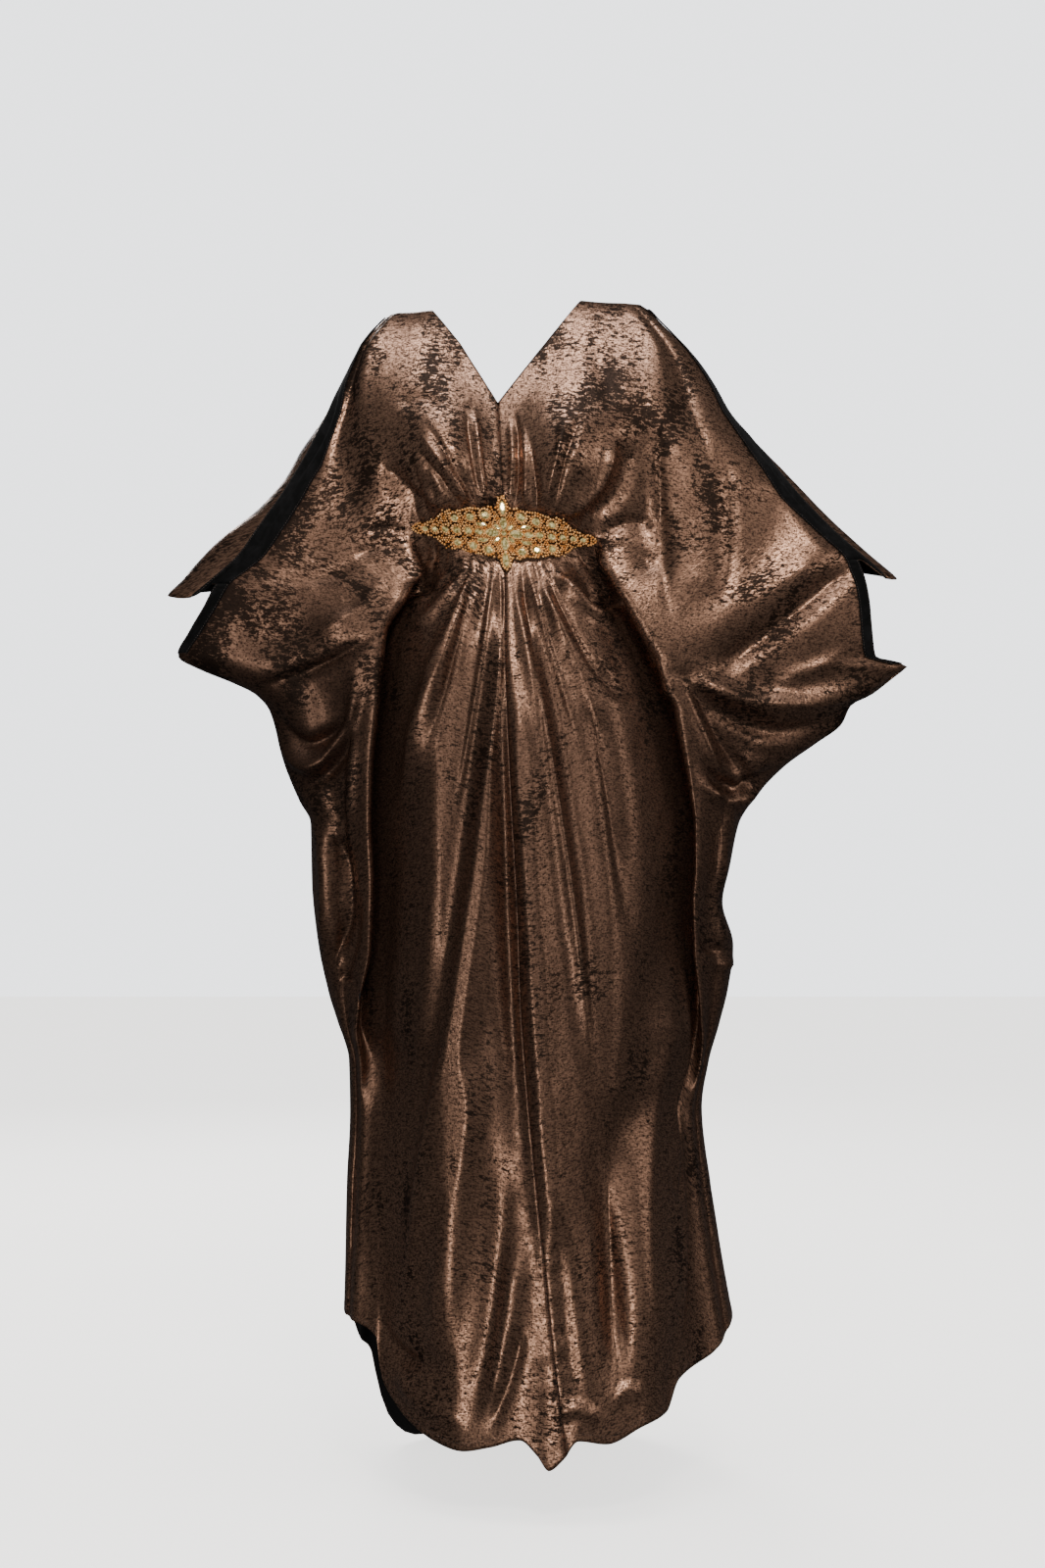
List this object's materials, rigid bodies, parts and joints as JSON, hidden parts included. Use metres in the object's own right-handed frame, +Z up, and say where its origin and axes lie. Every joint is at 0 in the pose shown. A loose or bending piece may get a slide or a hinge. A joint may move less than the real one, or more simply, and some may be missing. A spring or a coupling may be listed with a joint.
{
  "type": "kaftan",
  "caption": "Floor-length V-neck kaftan with wide wing sleeves, gathered under the bust behind a beaded applique, in crushed bronze foil cloth with black velvet bands.",
  "frame": {"origin": "middle of the shoulder line, level with the wearer's left neck point, where the shoulders carry the garment", "axes": "+X to the wearer's left, +Y to the wearer's back, +Z up; the garment hangs towards -Z"},
  "size_m": [0.8989, 0.5139, 1.4508],
  "materials": {
    "bronze_foil_cloth": "dark woven cloth with crushed bronze foil print, soft metallic sheen, black wrong side",
    "black_velvet": "matt black velvet ribbon",
    "gold_beads": "gold-coloured beads and pale crystal stones on a backing"
  },
  "bodies": {
    "root": {"front_right": "bronze_foil_cloth", "front_left": "bronze_foil_cloth", "back": "bronze_foil_cloth", "overarm_band_right": "black_velvet", "overarm_band_left": "black_velvet", "cuff_band_right": "black_velvet", "cuff_band_left": "black_velvet", "waist_applique": "gold_beads"}
  },
  "joints": []
}
